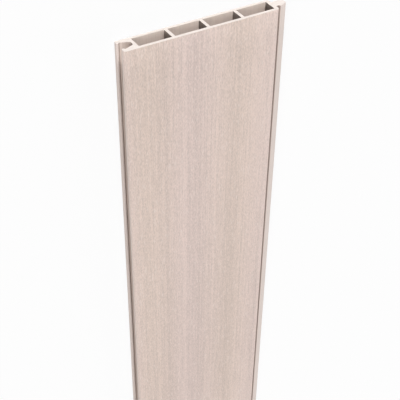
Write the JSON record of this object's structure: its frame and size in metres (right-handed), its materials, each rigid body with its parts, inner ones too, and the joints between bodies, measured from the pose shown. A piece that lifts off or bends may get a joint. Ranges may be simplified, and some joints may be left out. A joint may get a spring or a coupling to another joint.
{
  "type": "composite fence board",
  "caption": "Hollow wood-plastic board with closed chambers, a grooved long edge and a barbed tongue, laid or slid edge to edge as fence infill.",
  "frame": {"origin": "middle of the board's length and width, on the plane of its back face", "axes": "+X along the board, +Y across it from the grooved edge to the tongue, +Z out of the show face"},
  "size_m": [1.8, 0.1666, 0.02],
  "materials": {
    "composite": "brushed wood-plastic, matt, warm grey-beige"
  },
  "bodies": {
    "root": {"fence_board": "composite"}
  },
  "joints": []
}
